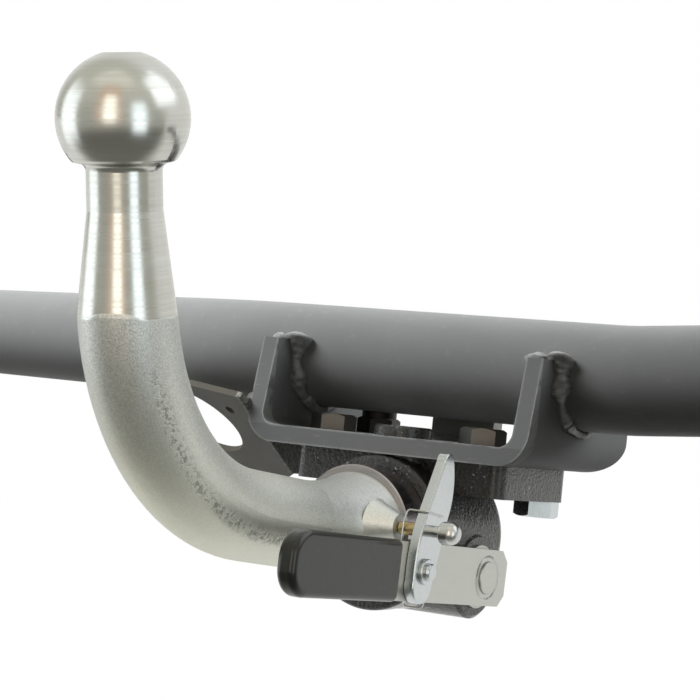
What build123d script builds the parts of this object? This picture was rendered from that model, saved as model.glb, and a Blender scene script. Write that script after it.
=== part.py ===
from build123d import *
import math
import os

# Detachable towbar: a swan neck with a 50 mm ball plugs into a cast housing under a welded
# bracket on a round cross tube. A hand lever turns a lock shaft across the housing, and a
# sprung catch on the lever holds it shut. Millimetres, origin at the centre of the ball,
# +X along the cross tube, +Y forward to the car, +Z up.
#
# The bracket, the housing and the lever share one tilted frame, here called the tow frame.
# Its origin is the middle of the bracket's rear top edge, its y runs into the housing.

# Tow frame
TOW_PITCH_DEG = 11.25
TOW_Y = 174.9
TOW_Z = -144.8

# Ball and neck
BALL_D = 50.0
BALL_TOP_FLAT = 24.0
BALL_RIM_DROP = 15.0
BALL_STEP = 0.9
RIM_FLAT = 0.5
NECK_D = 28.4
NECK_FILLET = 3.0
NECK_STRAIGHT_END = 34.0
NECK_TURNED_END = 73.0
CONE_SPLIT = 54.0
BAR_D = 37.6
BEND_R = 99.0
RUN_DROP_DEG = 16.0
RUN_CORNER = 27.0
RUN_CORNER_R = 200.0

# Bell, collar and shank of the neck, along the housing axis
AXIS_DROP = 42.7
BELL_D = 55.2
BELL_EDGE = 17.0
BELL_START = 62.0
BELL_SINK = 0.05
BELL_OVERLAP = 3.0
COLLAR_D = 58.4
COLLAR_CHAMFER = 0.6
SHANK_D = 30.0
SHANK_LENGTH = 53.0
SHANK_CHAMFER = 2.5
SEAT_GAP = 0.1
FIT = 0.05
DOWEL_D = 6.0
DOWEL_PITCH = 47.0
DOWEL_DEPTH = 8.0
DOWEL_CHAMFER = 1.0
DOWEL_END_GAP = 1.0
STOP_BOSS_D = 11.0
STOP_BOSS_X = 32.0
STOP_BOSS_BASE_D = 22.0
STOP_BOSS_LENGTH = 12.0

# Housing casting
BARREL_D = 68.0
MOUTH_D = 68.8
MOUTH_LENGTH = 9.0
MOUTH_EDGE_R = 1.8
BARREL_LENGTH = 62.0
BARREL_END_R = 7.0
FLANGE_W = 108.0
FLANGE_START = 14.8
FLANGE_LENGTH = 63.2
FLANGE_T = 14.7
FLANGE_CORNER_R = 6.0
SPIGOT_D = 26.0
SPIGOT_Y = 19.0
SPIGOT_PROUD = 5.0
SPIGOT_EDGE_R = 1.5
BUSH_WALL = 3.0
BUSH_LENGTH = 55.0
BUSH_INSET = 0.5
BUSH_WINDOW_GAP = 0.3
PLUG_T = 5.0
PLUG_HEAD_T = 1.6
PLUG_HEAD_D = 39.0

# Bracket
PLATE_T = 8.0
BRACKET_W = 145.8
BRACKET_DEPTH = 96.0
EAR_H = 39.7
EAR_LEAN = 7.6
EAR_CORNER_R = 15.0
EAR_TOP_PAST_TUBE = 12.0
EAR_END_H = 14.0
BEND_IN_R = 6.5
STAY_W = 33.0
STAY_T = 8.0
STAY_H = 38.0
STAY_GAP = 0.3
STAY_WELD_D = 9.6
STAY_WELD_INSET = 1.0

# Cross tube
TUBE_D = 48.0
TUBE_WALL = 3.5
TUBE_Y = 47.0
TUBE_Z = 34.3
TUBE_LEFT_CORNER = 106.0
TUBE_RIGHT_CORNER = 96.0
TUBE_RIGHT_JOGGLE = 188.0
TUBE_BEND_R = 126.0
LEFT_ARM_FORWARD_DEG = 20.1
LEFT_ARM_DROP_DEG = 3.7
RIGHT_ARM_FORWARD_DEG = 5.5
RIGHT_ARM_RISE_DEG = 3.6
TUBE_SPAN = 900.0

# Chassis plates
CHASSIS_T = 8.0
CHASSIS_LENGTH = 170.0
CHASSIS_H = 72.0
CHASSIS_BACK = 100.0
CHASSIS_CORNER_R = 10.0
CHASSIS_HOLE_D = 13.0
CHASSIS_HOLES_Y = 130.0
CHASSIS_HOLES_Z = 44.0

# Weld beads
WELD_LEG = 6.0
WELD_LEG_SMALL = 3.0

# Bolts
BOLT_D = 12.0
BOLT_CLEAR = 0.5
FRONT_BOLT_PITCH = 78.6
FRONT_BOLT_Y = 21.7
REAR_BOLT_INSET = 9.8
HEAD_AF = 18.0
HEAD_H = 7.5
FRONT_HEX_TURN_DEG = 30.0
REAR_HEX_TURN_DEG = 39.0
NUT_HEX_H = 7.5
NUT_H = 12.0
NUT_COLLAR_D = 16.5
NUT_COLLAR_R = 2.0
THREAD_PROUD = 1.5
FRONT_BOLT_GRIP = 21.5
HOLE_END_GAP = 0.5
HEX_CHAMFER_IN = 1.5
HEX_CHAMFER_DOWN = 1.0
THREAD_CHAMFER = 1.0

# Socket plate
SHEET_T = 3.0
SOCKET_SLOPE_DEG = 33.8
SOCKET_FOLD_DEG = 82.0
SOCKET_TOP_Y = -6.1
SOCKET_TOP_Z = 10.6
LEAF_W = 84.0
LEAF_H = 72.0
LEAF_CHAMFER = 12.0
TAB_TOP_W = 31.0
TAB_LOW_W = 17.0
TAB_END_Y = 66.0
TAB_END_Z = -6.0
SOCKET_HOLE_D = 48.0
SOCKET_HOLE_U = 41.0
SOCKET_HOLE_V = 31.0
SOCKET_SCREW_PCD = 69.0
SOCKET_SCREW_D = 5.0
SOCKET_WELD_INSET = 1.0
SOCKET_SCREW_START_DEG = 210.0

# Lock shaft and lever
PIVOT_Y = 35.7
PIVOT_DROP = 58.3
SHAFT_D = 16.0
SHAFT_HEAD_D = 14.5
SHAFT_HEAD_PROUD = 0.9
SHAFT_HEAD_CHAMFER = 0.4
CAM_FLAT = 2.0
CAM_LENGTH = 26.0
CROSS_BOSS_D = 38.0
CROSS_BOSS_PROUD = 1.0
CROSS_BOSS_CHAMFER = 1.5
SHAFT_BUSH_WALL = 2.0
SHAFT_BUSH_LENGTH = 13.0
WASHER_D = 28.0
WASHER_T = 1.3
SHAFT_TAIL = 4.0
SHAFT_TAIL_CHAMFER = 1.0
CIRCLIP_D = 21.0
CIRCLIP_T = 1.2
CIRCLIP_DEPTH = 0.8
LEVER_T = 4.0
LEVER_W = 25.0
LEVER_TILT_DEG = 2.6
LEVER_BACK = 17.0
LEVER_CHAMFER = 5.0
GRIP_END = 158.0
GRIP_START = 77.0
GRIP_T = 9.0
GRIP_W = 27.0
GRIP_WAIST_W = 26.0
GRIP_CORNER_R = 11.5
GRIP_EDGE_R = 3.0
GRIP_COVER = 4.0

# Safety catch
CATCH_GAP = 0.3
CATCH_T = 4.5
CATCH_Y = -27.0
CATCH_DROP = 54.7
CATCH_TIP_REAR = (-18.6, -8.4)
CATCH_TIP_TOP = (-15.2, -4.7)
CATCH_TIP_FRONT = (-10.9, -8.0)
CATCH_REAR_MID = (-29.0, -29.6)
CATCH_REAR_BOW = (-33.9, -44.0)
CATCH_REAR_LOW = (-35.0, -58.5)
CATCH_FOOT_LOW = (-28.0, -68.4)
CATCH_FOOT = (-20.3, -62.0)
CATCH_FRONT_MID = (-12.0, -33.0)
CATCH_FRONT_BOW = (-9.1, -20.0)
CATCH_EDGE_R = 0.8
RIVET_D = 6.0
RIVET_FLANGE_D = 11.0
RIVET_FLANGE_T = 1.6
RIVET_DOME_D = 7.5
RIVET_DOME_H = 2.2
RIVET_FLANGE_EDGE_R = 0.6
RIVET_DOME_EDGE_R = 1.4
PIN_D = 5.6
PIN_Y = -29.0
PIN_TENON_D = 4.0
PIN_TENON_L = 5.0
PIN_DROP = 37.5
PIN_TIP_GAP = 0.3
PIN_CHAMFER = 0.6
KNOB_STEM_D = 5.0
KNOB_STEM_L = 7.5
KNOB_D = 9.6
KNOB_L = 8.4
KNOB_TOP_FLAT_R = 0.6
KNOB_BACK_R = 1.2
WIRE_D = 0.8
WIRE_GAP = 0.45
WIRE_SIDE_GAP = 0.3
COIL_SIDE_GAP = 0.9
COIL_R = 5.6
COIL_TURNS = 2
COIL_START_TURN = 0.25
WIRE_CORNER_R = 1.2
TOP_HOOK_Z = -29.5
TOP_HOOK_Y = -29.9
TOP_HOOK_END_Y = -17.5
TOP_HOOK_END_Z = -31.5
TOP_LEG_KINK_Z = -35.0
FOOT_HOOK_Y = -20.0
FOOT_HOOK_Z = -70.8
FOOT_HOOK_END_Y = -16.5
FOOT_HOOK_END_Z = -64.5

# Places worked out from the sizes above
MOUTH_Y = 0.0
AXIS_Z = -AXIS_DROP
PIVOT_Z = -PIVOT_DROP
FLANGE_TOP = -PLATE_T
FLANGE_BOTTOM = -PLATE_T - FLANGE_T
FRONT_BOLT_X = FRONT_BOLT_PITCH / 2
REAR_BOLT_X = FLANGE_W / 2 - REAR_BOLT_INSET
REAR_BOLT_Y = FLANGE_START + FLANGE_LENGTH - REAR_BOLT_INSET
CROSS_BOSS_X = BARREL_D / 2 + CROSS_BOSS_PROUD
WASHER_X = CROSS_BOSS_X + SEAT_GAP
LEVER_X = WASHER_X + WASHER_T + SEAT_GAP
LEVER_OUT_X = LEVER_X + LEVER_T
CATCH_X = LEVER_OUT_X + CATCH_GAP
CATCH_OUT_X = CATCH_X + CATCH_T
SHANK_FLAT_Z = PIVOT_Z + SHAFT_D / 2 + FIT
BUSH_OUT_D = SHANK_D + 2 * FIT + 2 * BUSH_WALL
SHAFT_BORE_D = SHAFT_D + 2 * FIT
SHAFT_BUSH_D = SHAFT_BORE_D + 2 * SHAFT_BUSH_WALL
COIL_TOP_X = LEVER_X - COIL_SIDE_GAP - WIRE_D / 2
COIL_FOOT_X = COIL_TOP_X - (WIRE_D + WIRE_GAP) * (COIL_TURNS + COIL_START_TURN)
COIL_ROOM = LEVER_X - COIL_FOOT_X + WIRE_D / 2 + WIRE_SIDE_GAP
EAR_X = BRACKET_W / 2
TOW = Location((0, TOW_Y, TOW_Z), (-TOW_PITCH_DEG, 0, 0))

parts = {}


def tow_point(y, z):
    """World y and z of a point of the tow frame's middle plane."""
    pitch = math.radians(TOW_PITCH_DEG)
    world_y = TOW_Y + y * math.cos(pitch) + z * math.sin(pitch)
    world_z = TOW_Z - y * math.sin(pitch) + z * math.cos(pitch)
    return world_y, world_z


def side_plate(face, x_low, x_high):
    """A flat piece drawn in y and z, from x_low to x_high."""
    return extrude(Plane.YZ.offset(x_low) * face, x_high - x_low, dir=(1, 0, 0))


def rod_x(diameter, x_low, x_high, y, z):
    """A round bar along x."""
    return side_plate(Pos(y, z) * Circle(diameter / 2), x_low, x_high)


def rod_y(diameter, y_low, y_high, x=0.0, z=AXIS_Z):
    """A round bar along the housing axis, or beside it."""
    middle = Pos(x, (y_low + y_high) / 2, z) * Rot(90, 0, 0)
    return middle * Cylinder(diameter / 2, y_high - y_low)


def rod_z(diameter, z_low, z_high, x, y):
    """A round bar square to the bracket's plate."""
    return Pos(x, y, (z_low + z_high) / 2) * Cylinder(diameter / 2, z_high - z_low)


def revolve_x(face, y, z, start, sweep_angle):
    """Turns a section drawn as (x, radius) about a line along x through (y, z)."""
    section = Location((0, y, z), (start, 0, 0)) * (Plane.XY * face)
    return revolve(section, Axis((0, y, z), (1, 0, 0)), sweep_angle)


def cone_r(depth):
    """Radius of the turned cone this far below the ball's centre."""
    share = (depth - NECK_STRAIGHT_END) / (NECK_TURNED_END - NECK_STRAIGHT_END)
    return (NECK_D + share * (BAR_D - NECK_D)) / 2


def turned_neck():
    """Ball, thin neck and the upper half of the cone."""
    ball_r = BALL_D / 2
    flat_r = math.sqrt(ball_r**2 - BALL_TOP_FLAT**2)
    rim_r = math.sqrt(ball_r**2 - BALL_RIM_DROP**2)
    neck_r = NECK_D / 2
    under_z = -BALL_RIM_DROP - BALL_STEP
    step_r = rim_r - BALL_STEP
    fillet_z = under_z - RIM_FLAT
    fillet_mid = NECK_FILLET * (1 - math.sqrt(0.5))
    outline = [
        Line((0, BALL_TOP_FLAT), (flat_r, BALL_TOP_FLAT)),
        ThreePointArc((flat_r, BALL_TOP_FLAT), (ball_r, 0), (rim_r, -BALL_RIM_DROP)),
        Line((rim_r, -BALL_RIM_DROP), (step_r, under_z)),
        Line((step_r, under_z), (neck_r + NECK_FILLET, fillet_z)),
        ThreePointArc(
            (neck_r + NECK_FILLET, fillet_z),
            (neck_r + fillet_mid, fillet_z - fillet_mid),
            (neck_r, fillet_z - NECK_FILLET),
        ),
        Line((neck_r, fillet_z - NECK_FILLET), (neck_r, -NECK_STRAIGHT_END)),
        Line((neck_r, -NECK_STRAIGHT_END), (cone_r(CONE_SPLIT), -CONE_SPLIT)),
        Line((cone_r(CONE_SPLIT), -CONE_SPLIT), (0, -CONE_SPLIT)),
        Line((0, -CONE_SPLIT), (0, BALL_TOP_FLAT)),
    ]
    profile = make_face(outline)
    return revolve(Plane.XZ * profile, Axis.Z)


def neck_bar():
    """Round bar that bends from the ball's line to the housing's line, turned down at its top."""
    corner_y, corner_z = tow_point(-RUN_CORNER, AXIS_Z)
    knee_z = corner_z + corner_y * math.tan(math.radians(RUN_DROP_DEG))
    end_y, end_z = tow_point(-BELL_EDGE / 2, AXIS_Z)
    path = FilletPolyline(
        (0, 0, -CONE_SPLIT),
        (0, 0, knee_z),
        (0, corner_y, corner_z),
        (0, end_y, end_z),
        radius=[BEND_R, RUN_CORNER_R / 2],
    )
    bar = sweep(Pos(0, 0, -CONE_SPLIT) * Circle(BAR_D / 2), path)
    over = 1.0
    chips = Polygon(
        (cone_r(CONE_SPLIT - over), -CONE_SPLIT + over),
        (BALL_D, -CONE_SPLIT + over),
        (BALL_D, -NECK_TURNED_END),
        (cone_r(NECK_TURNED_END), -NECK_TURNED_END),
        align=None,
    )
    return bar - revolve(Plane.XZ * chips, Axis.Z)


def neck_bell():
    """Flare that leaves the bar smoothly, on the bar's own line, and ends inside the collar."""
    start = (-BELL_START, BAR_D / 2 - BELL_SINK)
    edge = (-BELL_EDGE, BELL_D / 2)
    inside = (BELL_OVERLAP - BELL_EDGE, BELL_D / 2)
    outline = [
        Line((start[0], 0), start),
        TangentArc(start, edge, tangent=(1, 0)),
        Line(edge, inside),
        Line(inside, (inside[0], 0)),
        Line((inside[0], 0), (start[0], 0)),
    ]
    bell = Rot(0, 0, 90) * revolve(make_face(outline), Axis.X)
    lean = Rot(TOW_PITCH_DEG - RUN_DROP_DEG, 0, 0)
    return Pos(0, -RUN_CORNER, AXIS_Z) * lean * Pos(0, RUN_CORNER, 0) * bell


def stop_boss():
    """Cone on the bell's side that the catch pin stands over."""
    cone = Cone(STOP_BOSS_BASE_D / 2, STOP_BOSS_D / 2, STOP_BOSS_LENGTH)
    return Pos(STOP_BOSS_X - STOP_BOSS_LENGTH / 2, PIN_Y, -PIN_DROP) * Rot(0, 90, 0) * cone


def neck_end():
    """Bell, collar and shank, in the tow frame."""
    collar = rod_y(COLLAR_D, -BELL_EDGE, MOUTH_Y - SEAT_GAP)
    collar = chamfer(collar.edges().filter_by(GeomType.CIRCLE), COLLAR_CHAMFER)
    shank = rod_y(SHANK_D, -BELL_EDGE, SHANK_LENGTH)
    tip = shank.edges().filter_by(GeomType.CIRCLE).sort_by(Axis.Y)[-1]
    shank = chamfer(tip, SHANK_CHAMFER)
    below = Pos(0, SHANK_LENGTH / 2 + MOUTH_Y, SHANK_FLAT_Z + FIT - SHANK_D / 2) * Box(
        SHANK_D + 2, SHANK_LENGTH, SHANK_D
    )
    end = neck_bell() + collar + (shank - below) + stop_boss()
    for side in (-1, 1):
        end -= rod_y(DOWEL_D, -DOWEL_DEPTH, 0, side * DOWEL_PITCH / 2)
    return end


def swan_neck():
    return turned_neck() + neck_bar() + TOW * neck_end()


def index_dowels():
    """Two dowels pressed in the collar, which turn the neck to its one right place."""
    pair = []
    for side in (-1, 1):
        pin = rod_y(DOWEL_D, -DOWEL_DEPTH, DOWEL_DEPTH, side * DOWEL_PITCH / 2)
        tip = pin.edges().filter_by(GeomType.CIRCLE).sort_by(Axis.Y)[-1]
        pair.append(chamfer(tip, DOWEL_CHAMFER))
    return pair


def housing():
    """Casting: flange with four bolt holes, barrel for the shank and cross boss for the shaft."""
    flange = Pos(0, FLANGE_START + FLANGE_LENGTH / 2, FLANGE_TOP - FLANGE_T / 2) * Box(
        FLANGE_W, FLANGE_LENGTH, FLANGE_T
    )
    flange = fillet(flange.edges().filter_by(Axis.Z), FLANGE_CORNER_R)
    barrel = rod_y(BARREL_D, MOUTH_Y + 1, BARREL_LENGTH)
    rear = barrel.edges().filter_by(GeomType.CIRCLE).sort_by(Axis.Y)[-1]
    barrel = fillet(rear, BARREL_END_R)
    mouth = rod_y(MOUTH_D, MOUTH_Y, MOUTH_LENGTH)
    mouth = fillet(mouth.edges().filter_by(GeomType.CIRCLE).sort_by(Axis.Y)[0], MOUTH_EDGE_R)
    cross = rod_x(CROSS_BOSS_D, -CROSS_BOSS_X, CROSS_BOSS_X, PIVOT_Y, PIVOT_Z)
    cross = chamfer(cross.edges().filter_by(GeomType.CIRCLE), CROSS_BOSS_CHAMFER)
    spigot = rod_z(SPIGOT_D, FLANGE_BOTTOM, SPIGOT_PROUD, 0, SPIGOT_Y)
    spigot = fillet(spigot.edges().filter_by(GeomType.CIRCLE).sort_by(Axis.Z)[-1], SPIGOT_EDGE_R)
    above_flange = Pos(0, 0, FLANGE_TOP + BARREL_D / 2) * Box(2 * BARREL_D, 2 * BARREL_D, BARREL_D)
    body = flange + (barrel + mouth + cross - above_flange) + spigot
    body -= rod_y(BUSH_OUT_D, MOUTH_Y - 1, BARREL_LENGTH + 1)
    body -= rod_x(SHAFT_BUSH_D, -CROSS_BOSS_X - 1, CROSS_BOSS_X + 1, PIVOT_Y, PIVOT_Z)
    for side in (-1, 1):
        body -= rod_y(DOWEL_D + 2 * FIT, MOUTH_Y - 1, DOWEL_DEPTH + DOWEL_END_GAP, side * DOWEL_PITCH / 2)
        deep = -FRONT_BOLT_GRIP - HOLE_END_GAP
        body -= rod_z(BOLT_D + 2 * FIT, deep, 1, side * FRONT_BOLT_X, FRONT_BOLT_Y)
        body -= rod_z(BOLT_D + 2 * BOLT_CLEAR, FLANGE_BOTTOM - 1, 1, side * REAR_BOLT_X, REAR_BOLT_Y)
    return body


def housing_bush():
    """Pressed sleeve that the shank slides in, cut away where the lock shaft crosses."""
    sleeve = rod_y(BUSH_OUT_D, MOUTH_Y + BUSH_INSET, MOUTH_Y + BUSH_LENGTH)
    sleeve -= rod_y(SHANK_D + 2 * FIT, MOUTH_Y - 1, MOUTH_Y + BUSH_LENGTH + 1)
    return sleeve - rod_x(SHAFT_BUSH_D + 2 * BUSH_WINDOW_GAP, -BARREL_D, BARREL_D, PIVOT_Y, PIVOT_Z)


def end_plug():
    """Rubber plug in the back of the barrel."""
    seat = BARREL_LENGTH - PLUG_T
    stem = rod_y(BUSH_OUT_D - 2 * FIT, seat, BARREL_LENGTH)
    head = rod_y(PLUG_HEAD_D, BARREL_LENGTH, BARREL_LENGTH + PLUG_HEAD_T)
    rim = head.edges().filter_by(GeomType.CIRCLE).sort_by(Axis.Y)[-1]
    return stem + fillet(rim, PLUG_HEAD_T * 0.6)


def shaft_bushes():
    pair = []
    for side in (-1, 1):
        outer = side * CROSS_BOSS_X
        inner = side * (CROSS_BOSS_X - SHAFT_BUSH_LENGTH)
        low, high = sorted((outer, inner))
        ring = rod_x(SHAFT_BUSH_D, low, high, PIVOT_Y, PIVOT_Z)
        ring -= rod_x(SHAFT_BORE_D, low - 1, high + 1, PIVOT_Y, PIVOT_Z)
        pair.append(ring)
    return pair


def lever_place():
    """The lever is drawn with its pivot at the origin and its grip towards -y."""
    return Location((0, PIVOT_Y, PIVOT_Z), (-LEVER_TILT_DEG, 0, 0))


def lock_shaft():
    """Shaft with a cam flat that faces the shank when the lever is turned down."""
    tail_x = -CROSS_BOSS_X - SHAFT_TAIL
    shaft = rod_x(SHAFT_D, tail_x, LEVER_X, PIVOT_Y, PIVOT_Z)
    shaft = chamfer(shaft.edges().filter_by(GeomType.CIRCLE).sort_by(Axis.X)[0], SHAFT_TAIL_CHAMFER)
    head = rod_x(SHAFT_HEAD_D, LEVER_X, LEVER_OUT_X + SHAFT_HEAD_PROUD, PIVOT_Y, PIVOT_Z)
    head = chamfer(head.edges().filter_by(GeomType.CIRCLE).sort_by(Axis.X)[-1], SHAFT_HEAD_CHAMFER)
    flat_y = PIVOT_Y + SHAFT_D / 2 - CAM_FLAT
    flat = Pos(0, flat_y + SHAFT_D / 2, PIVOT_Z) * Box(CAM_LENGTH, SHAFT_D, 2 * SHAFT_D)
    groove_x = -CROSS_BOSS_X - SEAT_GAP - WASHER_T
    groove = rod_x(SHAFT_D + 2, groove_x - CIRCLIP_T, groove_x, PIVOT_Y, PIVOT_Z)
    groove -= rod_x(SHAFT_D - 2 * CIRCLIP_DEPTH, groove_x - CIRCLIP_T - 1, groove_x + 1, PIVOT_Y, PIVOT_Z)
    return shaft + head - flat - groove


def washer(x_low):
    ring = rod_x(WASHER_D, x_low, x_low + WASHER_T, PIVOT_Y, PIVOT_Z)
    return ring - rod_x(SHAFT_BORE_D, x_low - 1, x_low + WASHER_T + 1, PIVOT_Y, PIVOT_Z)


def shaft_circlip():
    """Open spring ring in the groove at the shaft's tail."""
    x_high = -CROSS_BOSS_X - SEAT_GAP - WASHER_T
    x_low = x_high - CIRCLIP_T
    ring = rod_x(CIRCLIP_D, x_low, x_high, PIVOT_Y, PIVOT_Z)
    ring -= rod_x(SHAFT_D - 2 * CIRCLIP_DEPTH, x_low - 1, x_high + 1, PIVOT_Y, PIVOT_Z)
    mouth = Pos(x_low + CIRCLIP_T / 2, PIVOT_Y, PIVOT_Z - CIRCLIP_D / 2) * Box(
        CIRCLIP_T * 2, SHAFT_D * 0.55, CIRCLIP_D * 0.6
    )
    return ring - mouth


def lever_plate():
    """Flat zinc bar from behind the shaft to inside the grip."""
    half = LEVER_W / 2
    tip = -(GRIP_END - GRIP_COVER)
    bar = Polygon((LEVER_BACK, half), (tip, half), (tip, -half), (LEVER_BACK, -half), align=None)
    back = bar.vertices().group_by(Axis.X)[-1]
    bar = chamfer(back, LEVER_CHAMFER)
    front = bar.vertices().group_by(Axis.X)[0]
    bar = fillet(front, GRIP_CORNER_R - GRIP_COVER)
    plate = lever_place() * side_plate(bar, LEVER_X, LEVER_OUT_X)
    plate -= rod_x(SHAFT_HEAD_D, LEVER_X - 1, LEVER_OUT_X + 1, PIVOT_Y, PIVOT_Z)
    return plate - rod_x(RIVET_D, LEVER_X - 1, LEVER_OUT_X + 1, CATCH_Y, -CATCH_DROP)


def lever_grip():
    """Thick dipped sleeve over the free end, a little wider at the tip."""
    waist = GRIP_WAIST_W / 2
    half = GRIP_W / 2
    outline = Polygon(
        (-GRIP_START, waist), (-GRIP_END, half), (-GRIP_END, -half), (-GRIP_START, -waist), align=None
    )
    tip = outline.vertices().group_by(Axis.X)[0]
    outline = fillet(tip, GRIP_CORNER_R)
    mouth = outline.vertices().group_by(Axis.X)[-1]
    outline = fillet(mouth, GRIP_EDGE_R)
    middle = (LEVER_X + LEVER_OUT_X) / 2
    sleeve = side_plate(outline, middle - GRIP_T / 2, middle + GRIP_T / 2)
    faces = sleeve.faces().filter_by(Axis.X)
    rims = faces[0].edges() + faces[-1].edges()
    sleeve = fillet(rims, GRIP_EDGE_R)
    return lever_place() * sleeve - lever_plate()


def catch_outline():
    """Leaf shape of the catch in y and z: slim top for the thumb, round foot at the rivet."""
    return make_face(
        [
            Line(CATCH_TIP_REAR, CATCH_REAR_MID),
            ThreePointArc(CATCH_REAR_MID, CATCH_REAR_BOW, CATCH_REAR_LOW),
            ThreePointArc(CATCH_REAR_LOW, CATCH_FOOT_LOW, CATCH_FOOT),
            Line(CATCH_FOOT, CATCH_FRONT_MID),
            ThreePointArc(CATCH_FRONT_MID, CATCH_FRONT_BOW, CATCH_TIP_FRONT),
            ThreePointArc(CATCH_TIP_FRONT, CATCH_TIP_TOP, CATCH_TIP_REAR),
        ]
    )


def safety_catch():
    leaf = side_plate(catch_outline(), CATCH_X, CATCH_OUT_X)
    rim = leaf.faces().sort_by(Axis.X)[-1].edges()
    leaf = fillet(rim, CATCH_EDGE_R)
    leaf -= rod_x(RIVET_D + 2 * FIT, CATCH_X - 1, CATCH_OUT_X + 1, CATCH_Y, -CATCH_DROP)
    return leaf - rod_x(PIN_TENON_D, CATCH_X - 1, CATCH_OUT_X + 1, PIN_Y, -PIN_DROP)


def catch_rivet():
    """Shouldered rivet: the catch turns on it outside the lever, the spring sits on it inside."""
    inner_x = LEVER_X - COIL_ROOM
    stem = rod_x(RIVET_D, inner_x, CATCH_OUT_X + SEAT_GAP, CATCH_Y, -CATCH_DROP)
    inner_head = rod_x(RIVET_FLANGE_D, inner_x - RIVET_FLANGE_T, inner_x, CATCH_Y, -CATCH_DROP)
    flange_x = CATCH_OUT_X + SEAT_GAP
    dome_x = flange_x + RIVET_FLANGE_T
    flange = rod_x(RIVET_FLANGE_D, flange_x, dome_x, CATCH_Y, -CATCH_DROP)
    flange = fillet(flange.edges().filter_by(GeomType.CIRCLE).sort_by(Axis.X)[-1], RIVET_FLANGE_EDGE_R)
    dome = rod_x(RIVET_DOME_D, dome_x, dome_x + RIVET_DOME_H, CATCH_Y, -CATCH_DROP)
    dome = fillet(dome.edges().filter_by(GeomType.CIRCLE).sort_by(Axis.X)[-1], RIVET_DOME_EDGE_R)
    return stem + inner_head + flange + dome


def catch_pin():
    """Pin that stands over the boss on the neck; its tenon goes through the catch."""
    tip_x = STOP_BOSS_X + PIN_TIP_GAP
    pin = rod_x(PIN_D, tip_x, CATCH_X, PIN_Y, -PIN_DROP)
    pin = chamfer(pin.edges().filter_by(GeomType.CIRCLE).sort_by(Axis.X)[0], PIN_CHAMFER)
    return pin + rod_x(PIN_TENON_D, CATCH_X, CATCH_OUT_X + PIN_TENON_L, PIN_Y, -PIN_DROP)


def catch_knob():
    """Domed knob on the outside of the catch, on the pin's line."""
    stem_end = CATCH_OUT_X + KNOB_STEM_L
    stem = rod_x(KNOB_STEM_D, CATCH_OUT_X, stem_end, PIN_Y, -PIN_DROP)
    head = rod_x(KNOB_D, stem_end, stem_end + KNOB_L, PIN_Y, -PIN_DROP)
    rims = head.edges().filter_by(GeomType.CIRCLE).sort_by(Axis.X)
    head = fillet(rims[-1], KNOB_D / 2 - KNOB_TOP_FLAT_R)
    back = head.edges().filter_by(GeomType.CIRCLE).sort_by(Axis.X)[0]
    tenon = rod_x(PIN_TENON_D, CATCH_OUT_X, CATCH_OUT_X + PIN_TENON_L, PIN_Y, -PIN_DROP)
    return stem + fillet(back, KNOB_BACK_R) - tenon


def biarc(start, start_way, end, end_way):
    """Two arcs that leave start along start_way and reach end along end_way."""
    gap = end - start
    ways = start_way + end_way
    turn = 2 * (1 - start_way.dot(end_way))
    reach = (-gap.dot(ways) + math.sqrt(gap.dot(ways) ** 2 + turn * gap.dot(gap))) / turn
    joint = (start + start_way * reach + end - end_way * reach) * 0.5
    first = TangentArc(start, joint, tangent=start_way)
    return [first, TangentArc(joint, end, tangent=first % 1)]


def coil_point(turns):
    """Place and direction on the coil after so many turns, falling from its start angle."""
    angle = -2 * math.pi * (COIL_START_TURN + turns)
    pitch = WIRE_D + WIRE_GAP
    x = COIL_FOOT_X + pitch * turns
    place = Vector(x, CATCH_Y + COIL_R * math.cos(angle), -CATCH_DROP + COIL_R * math.sin(angle))
    way = Vector(pitch / (2 * math.pi), COIL_R * math.sin(angle), -COIL_R * math.cos(angle))
    return place, way.normalized()


def catch_spring():
    """Torsion spring round the rivet: one leg hooks over the catch, one under the lever."""
    quarters = round(4 * (COIL_TURNS + COIL_START_TURN))
    stations = [coil_point(step / 4) for step in range(quarters + 1)]
    coil = []
    for (start, start_way), (end, end_way) in zip(stations, stations[1:]):
        coil += biarc(start, start_way, end, end_way)
    first, first_way = stations[0]
    last, last_way = stations[-1]
    outside = LEVER_OUT_X + WIRE_D / 2 + WIRE_SIDE_GAP
    foot_lead = first - first_way * (first.Y - FOOT_HOOK_Y) / first_way.Y
    foot = FilletPolyline(
        (outside, FOOT_HOOK_END_Y, FOOT_HOOK_END_Z),
        (outside, FOOT_HOOK_Y, FOOT_HOOK_Z),
        (foot_lead.X, FOOT_HOOK_Y, FOOT_HOOK_Z),
        tuple(foot_lead),
        tuple(first),
        radius=WIRE_CORNER_R,
    )
    over = CATCH_OUT_X + WIRE_D / 2 + SEAT_GAP
    kink = last + last_way * ((TOP_LEG_KINK_Z - last.Z) / last_way.Z)
    top = FilletPolyline(
        tuple(last),
        tuple(kink),
        (kink.X, TOP_HOOK_Y, TOP_HOOK_Z),
        (over, TOP_HOOK_Y, TOP_HOOK_Z),
        (over, TOP_HOOK_END_Y, TOP_HOOK_END_Z),
        radius=WIRE_CORNER_R,
    )
    path = Wire(foot.edges() + coil + top.edges())
    samples = 60 * quarters
    points = [path.position_at(step / samples) for step in range(samples + 1)]
    spacing = path.length / samples
    apart = math.ceil(4 * WIRE_D / spacing)
    nearest = min(
        (points[high] - points[low]).length
        for low in range(samples)
        for high in range(low + apart, samples + 1)
    )
    print("catch spring least gap to itself", round(nearest - WIRE_D, 2))
    start = Plane(origin=path @ 0, z_dir=path % 0)
    return sweep(start * Circle(WIRE_D / 2), path)


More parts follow.
